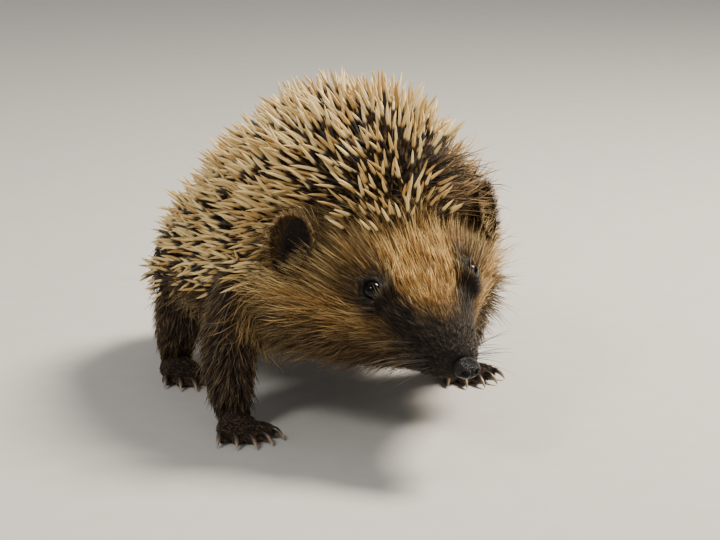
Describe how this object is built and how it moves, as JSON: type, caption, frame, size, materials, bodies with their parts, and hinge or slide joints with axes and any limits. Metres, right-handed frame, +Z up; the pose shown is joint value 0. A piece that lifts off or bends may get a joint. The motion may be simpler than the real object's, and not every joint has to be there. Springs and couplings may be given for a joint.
{
  "type": "hedgehog",
  "caption": "Life-size still model of a young European hedgehog standing with its quilled back hunched, its furred legs set apart and its pointed snout lowered.",
  "frame": {"origin": "on the floor, under the middle of the animal's box", "axes": "+Z up, -Y the way the animal faces, +X its left side"},
  "size_m": [0.1126, 0.1796, 0.1026],
  "materials": {
    "quills": "satin",
    "flank_fur": "soft",
    "face_fur": "soft",
    "leg_fur": "soft",
    "nose": "wet",
    "ear": "soft",
    "eye": "wet",
    "paw": "matt",
    "claw": "satin"
  },
  "bodies": {
    "root": {"mantle": "quills", "trunk": "flank_fur", "neck": "flank_fur", "tail": "leg_fur", "head": "face_fur", "nose": "nose", "ear_left": "ear", "ear_right": "ear", "eye_left": "eye", "eye_right": "eye", "foreleg_left": "leg_fur", "foreleg_right": "leg_fur", "hindleg_left": "leg_fur", "hindleg_right": "leg_fur", "forepaw_left": "paw", "forepaw_right": "paw", "hindpaw_left": "paw", "hindpaw_right": "paw"}
  },
  "joints": []
}
